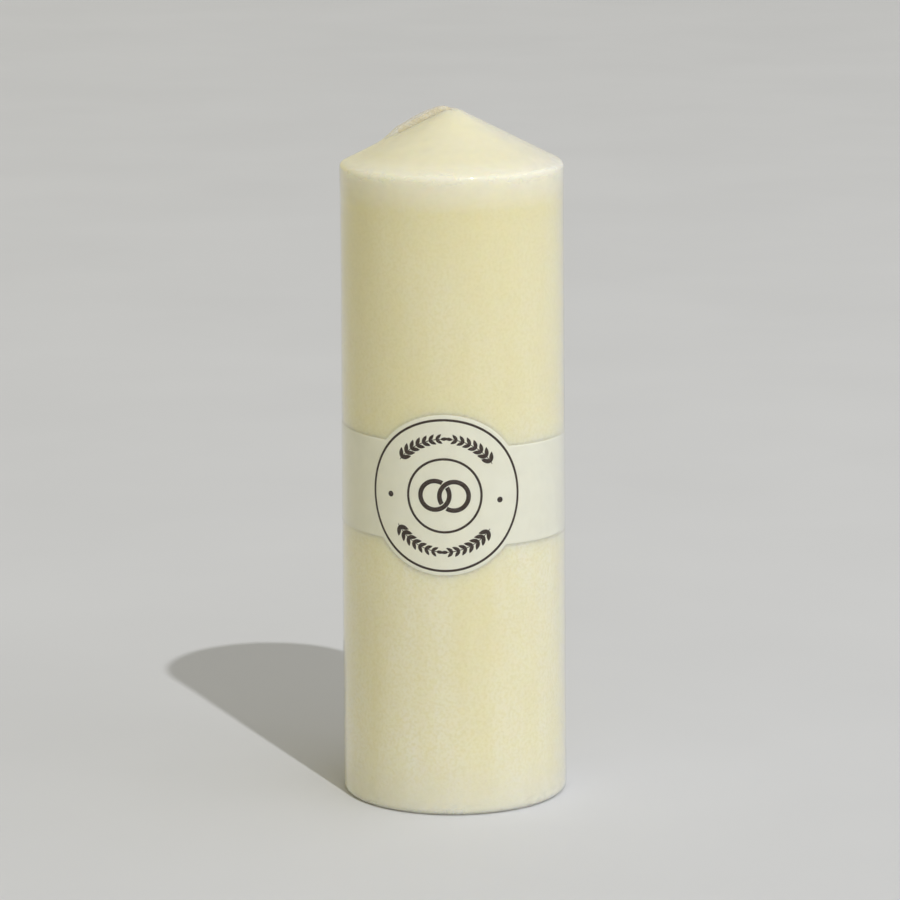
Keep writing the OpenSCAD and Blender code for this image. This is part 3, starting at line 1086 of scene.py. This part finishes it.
    def shrink_ripples(self, film, theta, radius, height, foot_z):
        """Shrink ripples: soft all over, stronger at the shoulder and foot, and puckers that
        grow towards the open eye under the base."""
        soft = ripples(theta, height, 21, 16, 18, 25)
        near_shoulder = np.exp(-((height - side_shoulder()) / (7 * MM)) ** 2)
        near_foot = np.exp(-((height - foot_z) / (9 * MM)) ** 2)
        upright = ripples(theta, 0 * height, 22, 14, 60, 0)
        under = smooth((1.0 * MM - (height - foot_z)) / MM) * smooth((36 * MM - radius) / (14 * MM))
        pucker = ripples(theta, 0 * height, 23, 10, 46, 0)
        return (film.slack * (soft + 1.2 * upright * (0.6 * near_shoulder + 1.0 * near_foot))
                + 0.05 * MM * under * pucker)


# ---------------------------------------------------------------- stage

def aim_lamp(data, turn, rise, distance, target):
    """Hangs a lamp at an angle round the candle and an angle up, aimed at the target."""
    lamp = bpy.data.objects.new(data.name, data)
    bpy.context.collection.objects.link(lamp)
    level = math.cos(rise)
    away = Vector((math.sin(turn) * level, -math.cos(turn) * level, math.sin(rise)))
    lamp.location = target + distance * away
    lamp.rotation_euler = away.to_track_quat("Z", "Y").to_euler()


def room_light(stage):
    """Even light from a pale room: dimmer overhead, and warmer from the left of the camera."""
    world = bpy.data.worlds.new("room")
    world.use_nodes = True
    nodes, links = world.node_tree.nodes, world.node_tree.links
    way = nodes.new("ShaderNodeTexCoord").outputs["Generated"]
    parts = nodes.new("ShaderNodeSeparateXYZ")
    links.new(way, parts.inputs[0])

    def blend(along, start, end, a, b):
        """From a to b as the direction's part along an axis goes from start to end."""
        ramp = nodes.new("ShaderNodeMapRange")
        links.new(along, ramp.inputs["Value"])
        ramp.inputs["From Min"].default_value, ramp.inputs["From Max"].default_value = start, end
        mix = nodes.new("ShaderNodeMix")
        mix.data_type = "RGBA"
        links.new(ramp.outputs[0], mix.inputs[0])
        for socket, value in ((mix.inputs[6], a), (mix.inputs[7], b)):
            if isinstance(value, bpy.types.NodeSocket):
                links.new(value, socket)
            else:
                socket.default_value = value
        return mix.outputs[2]

    level = blend(parts.outputs["X"], 0.25, -0.7, colour(stage.room), colour(stage.warm))
    light = blend(parts.outputs["Z"], 0.1, 0.9, level, colour(stage.ceiling))
    links.new(light, nodes["Background"].inputs["Color"])
    return world


class CANDLE_OT_stage(bpy.types.Operator):
    """Set the floor, the lamps and the camera"""
    bl_idname = "unity_candle.stage"
    bl_label = "Stage"

    def execute(self, context):
        stage = context.scene.candle_stage
        half = stage.floor_width / 2
        corners = np.array([[-half, -half, 0], [half, -half, 0], [half, half, 0], [-half, half, 0]])
        floor = put_mesh("floor", corners, np.array([[0, 1, 2, 3]]))
        floor.data.materials.append(pale_floor(stage))

        turn = stage.camera_turn
        middle = Vector((0, 0, (CAD_BOX[0][2] + CAD_BOX[1][2]) / 2))
        key = bpy.data.lights.new("key", "SUN")
        key.energy, key.angle = stage.key_power, math.radians(0.9)
        aim_lamp(key, turn + stage.key_turn, stage.key_rise, 1.5, middle)
        for place, (round_by, up_by) in {"near": (38, 42), "far": (92, 36)}.items():
            strip = bpy.data.lights.new("strip " + place, "AREA")
            strip.shape, strip.size, strip.size_y = "RECTANGLE", 2.1, 0.22
            strip.energy = stage.strip_power
            aim_lamp(strip, turn + math.radians(round_by), math.radians(up_by), 2.0, middle)
        context.scene.world = room_light(stage)
        context.scene.view_settings.view_transform = "Standard"

        data = bpy.data.cameras.new("camera")
        data.lens, data.sensor_width = stage.camera_lens, 36
        camera = bpy.data.objects.new("camera", data)
        context.collection.objects.link(camera)
        aim = (Matrix.Rotation(turn + stage.camera_aside, 4, "Z")
               @ Matrix.Rotation(math.pi / 2 - stage.camera_pitch, 4, "X")
               @ Matrix.Rotation(stage.camera_roll, 4, "Z"))
        camera.location = (math.sin(turn) * stage.camera_distance,
                           -math.cos(turn) * stage.camera_distance, stage.camera_height)
        camera.rotation_euler = aim.to_euler()
        context.scene.camera = camera
        return {"FINISHED"}


class CANDLE_PT_panel(bpy.types.Panel):
    """The candle's pieces, in the order that they are made"""
    bl_label = "Unity candle"
    bl_space_type = "VIEW_3D"
    bl_region_type = "UI"
    bl_category = "Unity candle"

    def draw(self, context):
        for step in STEPS:
            self.layout.operator(step.bl_idname)
        for group in GROUPS:
            box = self.layout.box()
            for name in GROUPS[group].__annotations__:
                box.prop(getattr(context.scene, group), name)


GROUPS = {"candle_wax": WaxSizes, "candle_wick": WickSizes, "candle_sustainer": SustainerSizes,
          "candle_label": LabelSizes, "candle_film": FilmSizes, "candle_stage": StageSizes}
STEPS = [CANDLE_OT_stage, CANDLE_OT_wax, CANDLE_OT_wick, CANDLE_OT_sustainer,
         CANDLE_OT_label, CANDLE_OT_print, CANDLE_OT_film]
CLASSES = [*GROUPS.values(), *STEPS, CANDLE_PT_panel]


def register():
    """Adds the classes, and their settings to the scene."""
    for cls in CLASSES:
        bpy.utils.register_class(cls)
    for name, group in GROUPS.items():
        setattr(bpy.types.Scene, name, PointerProperty(type=group))


def unregister():
    """Takes the settings and the classes away again."""
    for name in GROUPS:
        delattr(bpy.types.Scene, name)
    for cls in reversed(CLASSES):
        bpy.utils.unregister_class(cls)


def main():
    """Makes every piece in turn, in metres."""
    register()
    bpy.ops.unity_candle.stage()
    bpy.ops.unity_candle.wax()
    bpy.ops.unity_candle.wick()
    bpy.ops.unity_candle.sustainer()
    bpy.ops.unity_candle.label()
    bpy.ops.unity_candle.print()
    bpy.ops.unity_candle.film()


if __name__ == "__main__":
    main()
